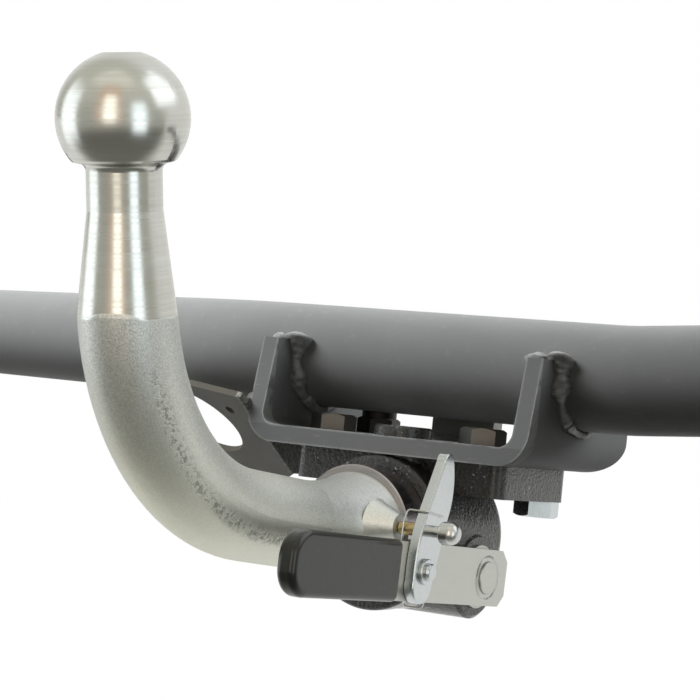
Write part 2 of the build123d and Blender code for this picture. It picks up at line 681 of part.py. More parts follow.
def ear_outline():
    """Side wall of the bracket: leaning rear edge, notch for the tube, round lower corner."""
    outline = Polygon(
        (0, -PLATE_T),
        (0, 0),
        (EAR_LEAN, EAR_H),
        (TUBE_Y + TUBE_D / 2 + EAR_TOP_PAST_TUBE, EAR_H),
        (BRACKET_DEPTH, EAR_END_H),
        (BRACKET_DEPTH, -PLATE_T),
        align=None,
    )
    low_back = outline.vertices().sort_by(Axis.X)[-2:].sort_by(Axis.Y)[0]
    face = fillet(low_back, EAR_CORNER_R)
    return face - Pos(TUBE_Y, TUBE_Z) * Circle(TUBE_D / 2)


def bracket():
    """Plate bent up into two ears, with bolt holes and a hole for the casting's spigot."""
    outer = Pos(0, (EAR_H - PLATE_T) / 2) * Rectangle(BRACKET_W, EAR_H + PLATE_T)
    inner = Pos(0, EAR_H / 2 + 1) * Rectangle(BRACKET_W - 2 * PLATE_T, EAR_H + 2)
    channel = outer - inner
    outer_corners = channel.vertices().group_by(Axis.Y)[0]
    channel = fillet(outer_corners, BEND_IN_R + PLATE_T)
    inner_corners = [v for v in channel.vertices() if abs(v.Y) < 0.01 and abs(v.X) < EAR_X - PLATE_T / 2]
    channel = fillet(inner_corners, BEND_IN_R)
    run = extrude(Plane.XZ * channel, BRACKET_DEPTH, dir=(0, 1, 0))
    ears = side_plate(ear_outline(), -EAR_X, EAR_X)
    plate = run & ears
    spigot_room = SPIGOT_D + 2 * BOLT_CLEAR
    plate -= rod_z(spigot_room, -PLATE_T - 1, 1, 0, SPIGOT_Y)
    for side in (-1, 1):
        for x, y in ((FRONT_BOLT_X, FRONT_BOLT_Y), (REAR_BOLT_X, REAR_BOLT_Y)):
            plate -= rod_z(BOLT_D + 2 * BOLT_CLEAR, -PLATE_T - 1, 1, side * x, y)
    return plate


def hex_prism(height, x, y, turn):
    """Hexagon with its points cut back at the upper end."""
    prism = extrude(RegularPolygon(HEAD_AF / 2, 6, major_radius=False), height)
    across = HEAD_AF / math.cos(math.pi / 6)
    dome = Cylinder(across / 2, height, align=(Align.CENTER, Align.CENTER, Align.MIN))
    rim = dome.edges().filter_by(GeomType.CIRCLE).sort_by(Axis.Z)[-1]
    dome = chamfer(rim, HEX_CHAMFER_DOWN, HEX_CHAMFER_IN)
    return Pos(x, y, 0) * Rot(0, 0, turn) * (prism & dome)


def front_bolts():
    pair = []
    for side in (-1, 1):
        x = side * FRONT_BOLT_X
        bolt = rod_z(BOLT_D, -FRONT_BOLT_GRIP, 0, x, FRONT_BOLT_Y)
        pair.append(bolt + hex_prism(HEAD_H, x, FRONT_BOLT_Y, FRONT_HEX_TURN_DEG))
    return pair


def rear_bolts():
    """These go in from below, with the nut on top of the bracket's plate."""
    pair = []
    for side in (-1, 1):
        x = side * REAR_BOLT_X
        bolt = rod_z(BOLT_D, FLANGE_BOTTOM, NUT_H + THREAD_PROUD, x, REAR_BOLT_Y)
        bolt = chamfer(bolt.edges().filter_by(GeomType.CIRCLE).sort_by(Axis.Z)[-1], THREAD_CHAMFER)
        head = Rot(180, 0, 0) * hex_prism(HEAD_H, 0, 0, -REAR_HEX_TURN_DEG)
        pair.append(bolt + Pos(x, REAR_BOLT_Y, FLANGE_BOTTOM) * head)
    return pair


def rear_nuts():
    """Self-locking nuts: a hexagon with a round collar for the plastic ring."""
    pair = []
    for side in (-1, 1):
        x = side * REAR_BOLT_X
        collar = rod_z(NUT_COLLAR_D, 0, NUT_H, x, REAR_BOLT_Y)
        collar = fillet(collar.edges().filter_by(GeomType.CIRCLE).sort_by(Axis.Z)[-1], NUT_COLLAR_R)
        nut = hex_prism(NUT_HEX_H, x, REAR_BOLT_Y, REAR_HEX_TURN_DEG) + collar
        pair.append(nut - rod_z(BOLT_D + 2 * FIT, -1, NUT_H + 1, x, REAR_BOLT_Y))
    return pair


def direction(forward, rise, side):
    """Unit vector of a tube arm from its forward and upward angles, in degrees."""
    forward = math.radians(forward)
    rise = math.radians(rise)
    flat = math.cos(rise)
    return Vector(side * math.cos(forward) * flat, math.sin(forward) * flat, math.sin(rise))


def tube_corners():
    """Centre line of the cross tube from its left end to its right end."""
    middle_y, middle_z = tow_point(TUBE_Y, TUBE_Z)
    left = direction(LEFT_ARM_FORWARD_DEG, -LEFT_ARM_DROP_DEG, -1)
    right = direction(RIGHT_ARM_FORWARD_DEG, RIGHT_ARM_RISE_DEG, 1)
    left_corner = Vector(-TUBE_LEFT_CORNER, middle_y, middle_z)
    right_corner = Vector(TUBE_RIGHT_CORNER, middle_y, middle_z)
    left_run = (TUBE_SPAN / 2 - TUBE_LEFT_CORNER) / abs(left.X)
    left_end = left_corner + left * left_run
    joggle = right_corner + right * ((TUBE_RIGHT_JOGGLE - TUBE_RIGHT_CORNER) / right.X)
    right_end = Vector(TUBE_SPAN / 2, left_end.Y, left_end.Z)
    return [left_end, left_corner, right_corner, joggle, right_end]


def cross_tube():
    """Round tube, bent forward on both sides, cut off flat at the chassis plates."""
    corners = tube_corners()
    overrun = TUBE_D
    first = corners[0] + (corners[0] - corners[1]).normalized() * overrun
    last = corners[-1] + (corners[-1] - corners[-2]).normalized() * overrun
    points = [first] + corners[1:-1] + [last]
    path = FilletPolyline(*points, radius=TUBE_BEND_R)
    start = Plane(origin=first, z_dir=(corners[1] - corners[0]).normalized())
    outside = sweep(start * Circle(TUBE_D / 2), path)
    inside = sweep(start * Circle(TUBE_D / 2 - TUBE_WALL), path)
    tube = outside - inside
    for side in (-1, 1):
        beyond = Pos(side * (TUBE_SPAN / 2 + TUBE_SPAN / 4), TOW_Y, TOW_Z) * Box(
            TUBE_SPAN / 2, TUBE_SPAN, TUBE_SPAN
        )
        tube -= beyond
    return tube


def chassis_plate(side):
    """Flat plate that bolts to the side of the car's chassis rail."""
    end = tube_corners()[0]
    middle_y = end.Y + CHASSIS_LENGTH / 2 - CHASSIS_BACK
    face = Pos(middle_y, end.Z) * RectangleRounded(CHASSIS_LENGTH, CHASSIS_H, CHASSIS_CORNER_R)
    for row in (-1, 1):
        for line in (-1, 1):
            hole = Circle(CHASSIS_HOLE_D / 2)
            y = middle_y + line * CHASSIS_HOLES_Y / 2
            face -= Pos(y, end.Z + row * CHASSIS_HOLES_Z / 2) * hole
    low, high = sorted((side * TUBE_SPAN / 2, side * (TUBE_SPAN / 2 + CHASSIS_T)))
    return side_plate(face, low, high)


def tube_end_welds():
    """A bead round each end of the tube, against its chassis plate."""
    beads = []
    corners = tube_corners()
    for end, inner, side in ((corners[0], corners[1], -1), (corners[-1], corners[-2], 1)):
        along = (end - inner).normalized()
        toe = Plane(origin=end - along * 2 * WELD_LEG, z_dir=along)
        room = Plane(origin=end - along * TUBE_D, z_dir=along)
        ring = extrude(toe * Circle(TUBE_D / 2 + WELD_LEG * 0.6), 2 * TUBE_D)
        ring -= extrude(room * Circle(TUBE_D / 2), 4 * TUBE_D)
        beyond = Pos(side * (TUBE_SPAN / 2 + 2 * TUBE_D), end.Y, end.Z)
        beads.append(ring - beyond * Box(4 * TUBE_D, 4 * TUBE_D, 4 * TUBE_D))
    return beads


def fillet_section(leg, x, side, radius):
    """Section of a bead in the corner between a wall at x and a tube of this radius."""
    corner = (x, radius)
    out = (x + side * leg, radius)
    up = (x, radius + leg)
    bulge = (x + side * leg * 0.56, radius + leg * 0.56)
    return make_face([Line(corner, out), ThreePointArc(out, bulge, up), Line(up, corner)])


def bracket_welds(plate):
    """Beads on both faces of each ear, along the notch that the tube lies in."""
    beads = []
    for side in (-1, 1):
        for wall, way in ((side * EAR_X, side), (side * (EAR_X - PLATE_T), -side)):
            section = fillet_section(WELD_LEG, wall, way, TUBE_D / 2)
            bead = revolve_x(section, TUBE_Y, TUBE_Z, 0, 360)
            keep = Pos(wall, TUBE_Y, EAR_H - TUBE_D) * Box(4 * WELD_LEG, 3 * TUBE_D, 2 * TUBE_D)
            beads.append((bead & keep) - plate)
    return beads


def tube_stay():
    """Short upright plate behind the tube, in the middle of the bracket."""
    front = TUBE_Y + TUBE_D / 2 + STAY_GAP
    return Pos(0, front + STAY_T / 2, STAY_H / 2) * Box(STAY_W, STAY_T, STAY_H)


def stay_welds():
    """One bead where the stay meets the tube, and one along its foot on each side."""
    stay = tube_stay()
    front = TUBE_Y + TUBE_D / 2 + STAY_GAP
    half = STAY_W / 2 - STAY_WELD_INSET
    top = rod_x(STAY_WELD_D, -half, half, front - STAY_WELD_INSET, STAY_H + STAY_WELD_INSET)
    top = top - stay - rod_x(TUBE_D, -half - 1, half + 1, TUBE_Y, TUBE_Z)
    feet = []
    for y, way in ((front, -1), (front + STAY_T, 1)):
        toe = (y + way * WELD_LEG_SMALL, 0)
        section = make_face(Polyline((y, 0), toe, (y, WELD_LEG_SMALL), close=True))
        feet.append(side_plate(section, -half, half))
    return [top] + feet


def socket_frame():
    """u runs outboard across the socket leaf, v runs down it, from the top of the fold."""
    slope = math.radians(SOCKET_SLOPE_DEG)
    fold = math.radians(SOCKET_FOLD_DEG)
    down = Vector(0, math.cos(slope), -math.sin(slope))
    square = Vector(0, math.sin(slope), math.cos(slope))
    across = Vector(-math.sin(fold), 0, 0) + square * math.cos(fold)
    origin = Vector(-EAR_X - SHEET_T, SOCKET_TOP_Y, SOCKET_TOP_Z)
    return Plane(origin=origin, x_dir=across, z_dir=across.cross(down))


def socket_hole(u, v, diameter):
    cutter = socket_frame() * Pos(u, v) * Circle(diameter / 2)
    return extrude(cutter, 4 * SHEET_T, both=True)


def socket_tab():
    """The part of the sheet that lies on the ear, drawn in y and z."""
    slope = math.radians(SOCKET_SLOPE_DEG)
    low_v = LEAF_H - LEAF_CHAMFER
    low_y = SOCKET_TOP_Y + low_v * math.cos(slope)
    low_z = SOCKET_TOP_Z - low_v * math.sin(slope)
    outline = Polygon(
        (SOCKET_TOP_Y, SOCKET_TOP_Z),
        (low_y, low_z),
        (low_y + TAB_LOW_W, low_z),
        (TAB_END_Y, TAB_END_Z),
        (SOCKET_TOP_Y + TAB_TOP_W, SOCKET_TOP_Z),
        align=None,
    )
    return side_plate(outline, -EAR_X - SHEET_T, -EAR_X)


def socket_plate():
    """Folded sheet: a tab on the left ear and a leaf with a round hole for the socket."""
    frame = socket_frame()
    root = -0.8 * SHEET_T
    outline = Polygon(
        (root, 0),
        (LEAF_W, 0),
        (LEAF_W, LEAF_H - LEAF_CHAMFER),
        (LEAF_W - LEAF_CHAMFER, LEAF_H),
        (LEAF_CHAMFER, LEAF_H),
        (root, LEAF_H - LEAF_CHAMFER),
        align=None,
    )
    leaf = extrude(frame * outline, SHEET_T, dir=-frame.z_dir)
    leaf -= socket_hole(SOCKET_HOLE_U, SOCKET_HOLE_V, SOCKET_HOLE_D)
    for turn in (0, 120, 240):
        angle = math.radians(SOCKET_SCREW_START_DEG + turn)
        u = SOCKET_HOLE_U + SOCKET_SCREW_PCD / 2 * math.cos(angle)
        v = SOCKET_HOLE_V + SOCKET_SCREW_PCD / 2 * math.sin(angle)
        leaf -= socket_hole(u, v, SOCKET_SCREW_D)
    return leaf + socket_tab()


def socket_plate_weld(plate):
    """Bead between the tab's top edge and the ear."""
    start_y = EAR_LEAN * SOCKET_TOP_Z / EAR_H + SOCKET_WELD_INSET
    end_y = SOCKET_TOP_Y + TAB_TOP_W - SOCKET_WELD_INSET
    bead = rod_y(2 * WELD_LEG_SMALL, start_y, end_y, -EAR_X, SOCKET_TOP_Z)
    return bead - socket_tab() - plate


def solids_of(shape):
    """All solids of a shape, or of a list of shapes, as one group."""
    shapes = shape if isinstance(shape, list) else [shape]
    return [solid for item in shapes for solid in item.solids()]


def add(name, shape, in_tow_frame=True):
    solids = solids_of(shape)
    if in_tow_frame:
        solids = [TOW * solid for solid in solids]
    parts[name] = solids


bracket_plate = bracket()

add("swan_neck", swan_neck(), in_tow_frame=False)
add("index_dowels", index_dowels())
add("housing", housing())
add("housing_bush", housing_bush())
add("end_plug", end_plug())
add("shaft_bushes", shaft_bushes())
add("bracket", bracket_plate)
add("bracket_welds", bracket_welds(bracket_plate))
add("tube_stay", tube_stay())
add("stay_welds", stay_welds())
add("cross_tube", cross_tube(), in_tow_frame=False)
add("left_chassis_plate", chassis_plate(-1), in_tow_frame=False)
add("right_chassis_plate", chassis_plate(1), in_tow_frame=False)
add("tube_end_welds", tube_end_welds(), in_tow_frame=False)
add("front_bolts", front_bolts())
add("rear_bolts", rear_bolts())
add("rear_nuts", rear_nuts())
add("socket_plate", socket_plate())
add("socket_plate_weld", socket_plate_weld(bracket_plate))
add("lock_shaft", lock_shaft())
add("shaft_washer", washer(WASHER_X))
add("shaft_tail_washer", washer(-CROSS_BOSS_X - SEAT_GAP - WASHER_T))
add("shaft_circlip", shaft_circlip())
add("lever_plate", lever_plate())
add("lever_grip", lever_grip())
add("catch_rivet", catch_rivet())
add("safety_catch", safety_catch())
add("catch_pin", catch_pin())
add("catch_knob", catch_knob())
add("catch_spring", catch_spring())

os.makedirs("parts", exist_ok=True)
for name, solids in parts.items():
    group = solids[0] if len(solids) == 1 else Compound(children=solids)
    group.label = name
    export_step(group, f"parts/{name}.step")
    print(name, len(solids), round(sum(solid.volume for solid in solids)))
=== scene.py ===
import math

import bmesh
import bpy
from mathutils import Matrix, Vector, noise


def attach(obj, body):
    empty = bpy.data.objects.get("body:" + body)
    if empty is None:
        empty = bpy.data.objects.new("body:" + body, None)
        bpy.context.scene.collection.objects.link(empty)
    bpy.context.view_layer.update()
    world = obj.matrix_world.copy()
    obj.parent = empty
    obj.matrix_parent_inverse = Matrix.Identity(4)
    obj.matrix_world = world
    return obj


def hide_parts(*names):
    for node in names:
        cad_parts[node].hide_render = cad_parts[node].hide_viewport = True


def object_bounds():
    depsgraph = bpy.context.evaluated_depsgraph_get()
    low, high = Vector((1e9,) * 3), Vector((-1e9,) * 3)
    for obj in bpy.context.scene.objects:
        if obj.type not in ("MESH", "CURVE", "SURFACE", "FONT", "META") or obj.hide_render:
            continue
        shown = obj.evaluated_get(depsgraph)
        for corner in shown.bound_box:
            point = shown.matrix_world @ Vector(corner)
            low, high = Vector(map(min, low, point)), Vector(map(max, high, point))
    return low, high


# Detachable towbar. Metres, origin at the centre of the ball, x along the cross tube,
# y forward to the car, z up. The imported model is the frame; this script gives it its looks.

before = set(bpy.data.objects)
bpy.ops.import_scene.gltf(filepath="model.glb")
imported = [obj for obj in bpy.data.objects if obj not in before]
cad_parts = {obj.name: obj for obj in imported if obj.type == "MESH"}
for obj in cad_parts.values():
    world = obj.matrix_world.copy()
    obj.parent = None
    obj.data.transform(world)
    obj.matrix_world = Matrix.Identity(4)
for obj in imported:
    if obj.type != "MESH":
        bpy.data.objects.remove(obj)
cad_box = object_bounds()

# The tilted frame of the bracket and housing, from the ball's centre
TOW_PITCH = math.radians(11.25)
TOW_Y = 0.1749
TOW_Z = -0.1448
TOW = Matrix.Translation((0, TOW_Y, TOW_Z)) @ Matrix.Rotation(-TOW_PITCH, 4, "X")

# Heights on the ball and neck, from the ball's centre: two fine scratches round the ball, and
# the end of the turned part, with the arch in it
UPPER_SCRATCH = 0.0105
LOWER_SCRATCH = -0.0042
TURNED_END = -0.073
ARCH_SIDE = (0.37, -0.93, 0.0)
ARCH_RISE = 0.0026

# How far below the ball's centre the seam, the painted olive floor reflection and the painted pale
# underside of the neck begin, and how far ahead of it the first two end
SEAM_DEPTH = 0.095
PAINTED_REFLECTION_DEPTH = 0.115
UNDERSIDE_DEPTH = 0.12
SEAM_END = 0.105
PAINTED_REFLECTION_END = 0.13

# Places in the tilted frame that the finishes and beads follow
BELL_START = -0.048
COLLAR_START = -0.0172
TUBE_Y = 0.047
TUBE_Z = 0.0343
TUBE_R = 0.024
EAR_X = 0.0729
EAR_T = 0.008
EAR_H = 0.0397
EAR_LEAN = 0.0076
EDGE_Y = 0.0012 + EAR_LEAN * 0.9
BEND_R = 0.0065
TAB_START = -EAR_X - 0.0031
PIVOT_Y = 0.0357
PIVOT_Z = -0.0583
SHAFT_HEAD_R = 0.00725
GROOVE_R = SHAFT_HEAD_R + 0.0022

# Camera, as the photograph was taken
CAMERA_PLACE = Vector((0.5269, -0.6524, 0.0277))
CAMERA_AZIMUTH = math.radians(33.261)
CAMERA_PITCH = math.radians(7.811)
CAMERA_ROLL = math.radians(-0.451)
FOCAL_PX = 2259.3
IMAGE_PX = 700
SENSOR_MM = 36.0

# Points and level directions of the studio
STUDIO_CENTRE = Vector((0.03, 0.13, -0.12))
BALL = Vector((0, 0, -0.05))
TUBE_MIDDLE = Vector((-0.16, 0.22, -0.11))
RIGHT = Vector((math.cos(CAMERA_AZIMUTH), math.sin(CAMERA_AZIMUTH), 0))
AHEAD = Vector((-math.sin(CAMERA_AZIMUTH), math.cos(CAMERA_AZIMUTH), 0))


class Signal:
    """A number that a shader works out; Python's operators add its Math nodes."""

    def __init__(self, shader, socket):
        self.shader = shader
        self.socket = socket

    def _math(self, operation, *values):
        settings = {"operation": operation}
        return self.shader.node("ShaderNodeMath", settings, dict(enumerate(values))).out()

    def __add__(self, other):
        return self._math("ADD", self, other)

    def __sub__(self, other):
        return self._math("SUBTRACT", self, other)

    def __rsub__(self, other):
        return self._math("SUBTRACT", other, self)

    def __mul__(self, other):
        return self._math("MULTIPLY", self, other)

    __radd__ = __add__
    __rmul__ = __mul__

    def root(self):
        return self._math("SQRT", self)

    def angle(self, other):
        """Degrees of the direction with this rise over the other run."""
        return self._math("DEGREES", self._math("ARCTAN2", self, other))

    def most(self, other):
        return self._math("MAXIMUM", self, other)

    def above(self, level, soft):
        """0 below the level and 1 above it, with a soft step between."""
        return self.shader.node(
            "ShaderNodeMapRange",
            {"interpolation_type": "SMOOTHSTEP", "clamp": True},
            {"Value": self, "From Min": level - soft, "From Max": level + soft},
        ).out()

    def within(self, low, high, soft):
        """1 between two levels, with soft steps at both."""
        return self.above(low, soft) * (1 - self.above(high, soft))

    def near(self, level, width):
        """1 at the level, falling to 0 this far from it on either side."""
        away = self._math("ABSOLUTE", self - level)
        return 1 - away.above(width * 0.5, width * 0.5)


class Made:
    """A shader node, with a short way to its outputs."""

    def __init__(self, shader, node):
        self.shader = shader
        self.node = node

    def out(self, name=0):
        return Signal(self.shader, self.node.outputs[name])


class Shader:
    """Nodes of one material or of the world."""

    def __init__(self, tree):
        self.tree = tree
        self.place = self.node("ShaderNodeTexCoord", {}, {}).out("Object")

    def node(self, kind, settings, values):
        made = self.tree.nodes.new(kind)
        for key, value in settings.items():
            setattr(made, key, value)
        for key, value in values.items():
            self.feed(made.inputs[key], value)
        return Made(self, made)

    def feed(self, socket, value):
        if isinstance(value, Signal):
            self.tree.links.new(value.socket, socket)
        else:
            socket.default_value = value

    def vector(self, operation, first, second=(0.0, 0.0, 0.0)):
        made = self.node("ShaderNodeVectorMath", {"operation": operation}, {0: first, 1: second})
        return made.out("Value" if operation in ("DOT_PRODUCT", "LENGTH") else "Vector")

    def axis(self, place=None):
        split = self.node("ShaderNodeSeparateXYZ", {}, {0: place or self.place})
        return split.out("X"), split.out("Y"), split.out("Z")

    def noise(self, size, detail=3.0, rough=0.55, place=None):
        """Cloudy pattern whose lumps are about this size, in metres."""
        values = {"Vector": place or self.place, "Scale": 1 / size}
        values |= {"Detail": detail, "Roughness": rough}
        return self.node("ShaderNodeTexNoise", {}, values).out("Fac")

    def stretch(self, x, y, z):
        """The object's place, scaled so that a pattern on it is drawn out."""
        return self.vector("MULTIPLY", self.place, (x, y, z))

    def in_tow_frame(self):
        """The object's place turned into the tilted frame of the bracket and housing."""
        moved = self.vector("SUBTRACT", self.place, (0, TOW_Y, TOW_Z))
        values = {"Vector": moved, "Angle": TOW_PITCH}
        return self.node("ShaderNodeVectorRotate", {"rotation_type": "X_AXIS"}, values).out()

    def mix(self, share, first, second):
        """Colours blended by a share from 0 to 1."""
        made = self.node("ShaderNodeMix", {"data_type": "RGBA"}, {})
        self.feed(made.node.inputs[0], share)
        for index, colour in ((6, first), (7, second)):
            if isinstance(colour, tuple) and len(colour) == 3:
                colour = (*colour, 1.0)
            self.feed(made.node.inputs[index], colour)
        return made.out(2)

    def layers(self, colour, *coats):
        """A colour under coats, each of them a share and a colour."""
        for share, tint in coats:
            colour = self.mix(share, colour, tint)
        return colour


class Finish(Shader):
    """A new material with one Principled surface."""

    def __init__(self, name):
        self.material = bpy.data.materials.new(name)
        self.material.use_nodes = True
        super().__init__(self.material.node_tree)
        self.surface = self.tree.nodes["Principled BSDF"]

    def set(self, **values):
        for name, value in values.items():
            if isinstance(value, tuple) and len(value) == 3:
                value = (*value, 1.0)
            self.feed(self.surface.inputs[name.replace("_", " ")], value)

    def bump(self, height, depth, normal=None):
        """Relief: height is 0 to 1 and depth its full range in metres."""
        values = {"Height": height, "Distance": depth}
        if normal is not None:
            values["Normal"] = normal
        made = self.node("ShaderNodeBump", {}, values).out()
        self.set(Normal=made)
        return made


def neck_steel():
    """One forging with three finishes: turned ball and cone, blasted bar, ground collar."""
    s = Finish("neck steel")
    _, y, z = s.axis()
    _, tow_y, _ = s.axis(s.in_tow_frame())
    normal_x, _, normal_z = s.axis(s.node("ShaderNodeNewGeometry", {}, {}).out("Normal"))
    depth = z * -1
    # the turning tool ran out in an arch on the side that stands proudest
    outward = s.vector("NORMALIZE", s.stretch(1.0, 1.0, 0.0))
    arch = s.vector("DOT_PRODUCT", outward, ARCH_SIDE).above(0.90, 0.09) * ARCH_RISE
    wander = s.noise(0.004) * 0.0005
    turned = (z + wander - arch).above(TURNED_END + 0.0002, 0.0004)
    collar = tow_y.above(COLLAR_START, 0.0002)
    machined = turned.most(collar)
    rings = s.noise(0.0013, 2.0, 0.6, s.stretch(0.02, 0.02, 1.0))
    bands = s.noise(0.004, 3.0, 0.6, s.stretch(0.05, 0.05, 1.0))
    smears = s.noise(0.012, 4.0, 0.6, s.stretch(0.35, 0.35, 1.6))
    scratch = z.near(UPPER_SCRATCH, 0.0005) + z.near(LOWER_SCRATCH, 0.0004) * 0.7
    grain = s.noise(0.0007, 3.0, 0.7)
    pits = s.noise(0.0028, 3.0, 0.6)
    cloud = s.noise(0.03, 4.0, 0.55)
    turned_colour = s.layers(
        s.mix(smears * 0.6 + bands * 0.4, (0.50, 0.49, 0.43), (0.71, 0.72, 0.71)),
        (rings.above(0.5, 0.2) * 0.18, (0.42, 0.42, 0.38)),
        (scratch * 0.15, (0.85, 0.85, 0.82)),
    )
    # the forging's parting seam, rubbed to a broken line along the right side of the bend
    seam = normal_x.near(0.90, 0.10) * depth.above(SEAM_DEPTH, 0.012) * (1 - y.above(SEAM_END, 0.02))
    seam = seam * (1 - normal_z.above(0.12, 0.10)) * s.noise(0.0022, 3.0, 0.7).above(0.53, 0.07)
    # painted reflection: the lower bend is tinted olive as if it mirrored the floor
    painted_floor_reflection = (depth - y * 0.55).above(PAINTED_REFLECTION_DEPTH, 0.06) * (1 - y.above(PAINTED_REFLECTION_END, 0.05))
    # painted light: faces turned down under the neck are painted paler, as light from the floor
    painted_underside_light = (normal_z * -1).above(0.15, 0.35) * depth.above(UNDERSIDE_DEPTH, 0.03)
    # painted highlight: the bell is painted paler and bluish
    painted_bell_highlight = tow_y.above(BELL_START, 0.022)
    # painted light: faces turned right are painted paler as a highlight, faces turned left darker as
    # shade
    right = normal_x.above(0.15, 0.25)
    left = (normal_x * -1).above(0.35, 0.30)
    cast_colour = s.layers(
        s.mix(grain.above(0.5, 0.16), (0.42, 0.43, 0.415), (0.73, 0.74, 0.715)),
        (painted_floor_reflection * (0.4 + cloud * 0.4), (0.66, 0.66, 0.52)),
        (painted_underside_light * 0.35, (0.88, 0.88, 0.70)),
        (painted_bell_highlight * 0.5, (0.88, 0.90, 0.89)),
        (cloud.above(0.5, 0.2) * 0.25, (0.50, 0.50, 0.46)),
        (right * 0.20, (0.90, 0.91, 0.88)),
        (left * 0.35, (0.40, 0.41, 0.39)),
        (seam * 0.65, (0.22, 0.22, 0.20)),
    )
    collar_colour = s.mix(smears, (0.36, 0.335, 0.34), (0.47, 0.44, 0.45))
    colour = s.layers(cast_colour, (turned, turned_colour), (collar, collar_colour))
    s.set(Base_Color=colour, Metallic=1.0)
    smooth = 0.13 + smears * 0.10 + rings.above(0.5, 0.25) * 0.10
    rough = 0.40 + grain * 0.10 + pits * 0.06
    s.set(Roughness=rough + (smooth - rough) * machined)
    relief = (grain * 0.6 + pits * 0.7 - seam * 1.5) * (1 - machined)
    first = s.bump(relief, 0.00016)
    s.bump((rings * 0.6 + bands * 0.5) * machined, 0.00002, first)
    return s.material


def powder_coat(name, low, high, worn_and_highlit=False):
    """Satin coat with faint clouds and orange peel, rubbed along the bracket's cut edges and painted
    lighter there as a highlight.
    """
    s = Finish(name)
    peel = s.noise(0.0014, 2.0)
    waves = s.noise(0.012, 3.0)
    cloud = s.noise(0.045, 4.0, 0.6)
    dust = s.noise(0.006, 5.0, 0.7).above(0.64, 0.09)
    dusty = tuple(1.35 * part for part in high)
    colour = s.layers(s.mix(cloud, low, high), (dust * 0.25, dusty))
    if worn_and_highlit:
        # the bent plate's edges are rubbed and painted lighter as a highlight where they face the
        # ball, and its coat has fine scuffs
        x, y, z = s.axis(s.in_tow_frame())
        beside = (x.most(x * -1) - (EAR_X - EAR_T - BEND_R)).most(0.0)
        below = (BEND_R - z).most(0.0)
        reach = (beside * beside + below * below).root()
        edge = reach.near(BEND_R, 0.0011).most(reach.near(BEND_R + EAR_T, 0.0011))
        behind = 1 - y.above(EDGE_Y, 0.0004)
        rubbed_and_highlit = edge * behind * s.noise(0.009, 4.0).above(0.42, 0.12)
        scuffs = s.noise(0.0015, 3.0, 0.6, s.stretch(0.12, 1.0, 1.0)).above(0.68, 0.05)
        rubbed_and_highlit_colour, scuff_colour = (0.42, 0.43, 0.42), (0.36, 0.37, 0.36)
        colour = s.layers(colour, (rubbed_and_highlit * 0.65, rubbed_and_highlit_colour), (scuffs * 0.35, scuff_colour))
    s.set(Base_Color=colour, Roughness=0.44 + cloud * 0.10, Specular_IOR_Level=0.10)
    s.bump(peel * 0.5 + waves * 0.8, 0.00010)
    return s.material


def weld_coat():
    """The same coat over rough beads, with painted shade that makes it a little darker in their
    hollows.
    """
    s = Finish("coated weld")
    lumps = s.noise(0.0024, 3.0, 0.6)
    cloud = s.noise(0.009, 3.0)
    # painted shade: the colour is darker where the lumps are low
    colour = s.mix(lumps.above(0.5, 0.22), (0.18, 0.185, 0.185), (0.30, 0.305, 0.305))
    s.set(Base_Color=s.mix(cloud.above(0.62, 0.1) * 0.25, colour, (0.16, 0.14, 0.11)))
    s.set(Roughness=0.30 + lumps * 0.2, Specular_IOR_Level=0.5)
    s.bump(lumps, 0.0003)
    return s.material


def black_casting():
    """Rough sand casting under thick gloss black, so its grains glint."""
    s = Finish("black casting")
    grains = s.noise(0.0016, 3.0, 0.6)
    lumps = s.noise(0.006, 3.0, 0.55)
    dust = s.noise(0.012, 4.0, 0.6)
    chips = s.noise(0.0013, 2.0, 0.6).above(0.66, 0.04) * s.noise(0.014, 3.0, 0.6).above(0.54, 0.07)
    colour = s.mix(dust.above(0.5, 0.2), (0.006, 0.006, 0.0055), (0.024, 0.023, 0.020))
    s.set(Base_Color=s.mix(chips, colour, (0.40, 0.43, 0.47)), Metallic=chips)
    s.set(Roughness=0.10 + dust * 0.10)
    s.set(Specular_IOR_Level=0.45, Coat_Weight=0.35, Coat_Roughness=0.10)
    s.bump(grains * 0.8 + lumps * 0.5, 0.0014)
    return s.material


def zinc(name, low, high, rough=0.30, streak=(1.0, 0.12, 1.0)):
    """Plated steel with drawn streaks and faint dull patches."""
    s = Finish(name)
    lines = s.noise(0.0011, 3.0, 0.6, s.stretch(*streak))
    cloud = s.noise(0.011, 4.0, 0.6)
    s.set(Base_Color=s.mix(cloud * 0.6 + lines * 0.4, low, high))
    s.set(Metallic=1.0, Roughness=rough + cloud * 0.14)
    s.bump(lines, 0.00002)
    return s.material


def lever_zinc():
    """Dull pale zinc, with a scraped ring where the shaft was swaged in, and nicks in that ring
    painted dark as shade.
    """
    s = Finish("lever zinc")
    lines = s.noise(0.0011, 3.0, 0.6, s.stretch(1.0, 0.10, 1.0))
    cloud = s.noise(0.011, 4.0, 0.6)
    _, tow_y, tow_z = s.axis(s.in_tow_frame())
    away_y = tow_y - PIVOT_Y
    away_z = tow_z - PIVOT_Z
    reach = (away_y * away_y + away_z * away_z).root()
    groove = reach.near(GROOVE_R, 0.0009)
    # painted shade: nicks in the groove are painted dark
    shaded_nicks = groove * s.noise(0.006, 2.0).above(0.56, 0.05)
    seam = reach.near(SHAFT_HEAD_R, 0.0005)
    colour = s.layers(
        s.mix(cloud * 0.6 + lines * 0.4, (0.48, 0.49, 0.455), (0.60, 0.61, 0.57)),
        (seam * 0.4, (0.28, 0.28, 0.26)),
        (shaded_nicks * 0.8, (0.10, 0.10, 0.095)),
    )
    s.set(Base_Color=colour, Metallic=1.0, Roughness=0.36 + cloud * 0.14)
    first = s.bump(lines, 0.00002)
    s.bump(1 - groove, 0.0003, first)
    return s.material


